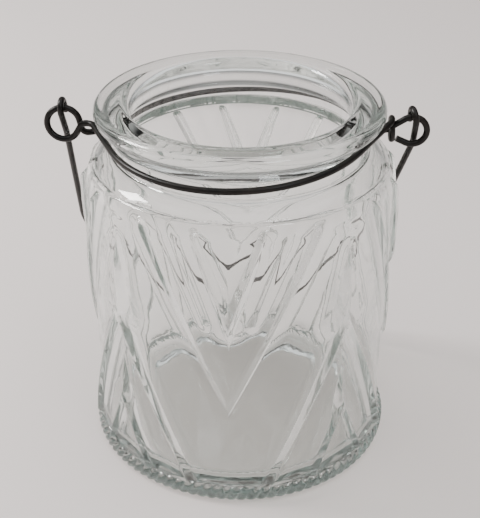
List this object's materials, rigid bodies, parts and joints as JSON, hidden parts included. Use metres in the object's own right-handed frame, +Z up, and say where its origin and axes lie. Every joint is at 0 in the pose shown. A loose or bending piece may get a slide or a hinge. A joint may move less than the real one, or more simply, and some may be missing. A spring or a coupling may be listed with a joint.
{
  "type": "jar lantern",
  "caption": "Round moulded glass jar with a chevron relief, a rolled lip, a wire collar with ears round its neck and a swinging wire bail handle.",
  "frame": {"origin": "centre of the ring the jar stands on, at the height of the surface it stands on", "axes": "+Z up along the jar's axis, -Y towards the front, +X towards the drop-shaped ear on the right"},
  "size_m": [0.1135, 0.0979, 0.1125],
  "materials": {
    "glass": "clear, smooth, moulded",
    "wire": "black, semi-gloss"
  },
  "bodies": {
    "jar_body": {"jar": "glass"},
    "neck_wires": {"front_neck_wire": "wire", "rear_neck_wire": "wire"},
    "handle": {"bail_handle": "wire"}
  },
  "joints": [
    {"name": "neck_swivel", "type": "hinge", "parent": "jar_body", "child": "neck_wires", "pos_m": [0, 0, 0.1], "axis": [0, 0, 1], "continuous": true},
    {"name": "handle_hinge", "type": "hinge", "parent": "neck_wires", "child": "handle", "pos_m": [0, 0, 0.10796], "axis": [1, 0, 0], "range_deg": [0, 297]}
  ]
}
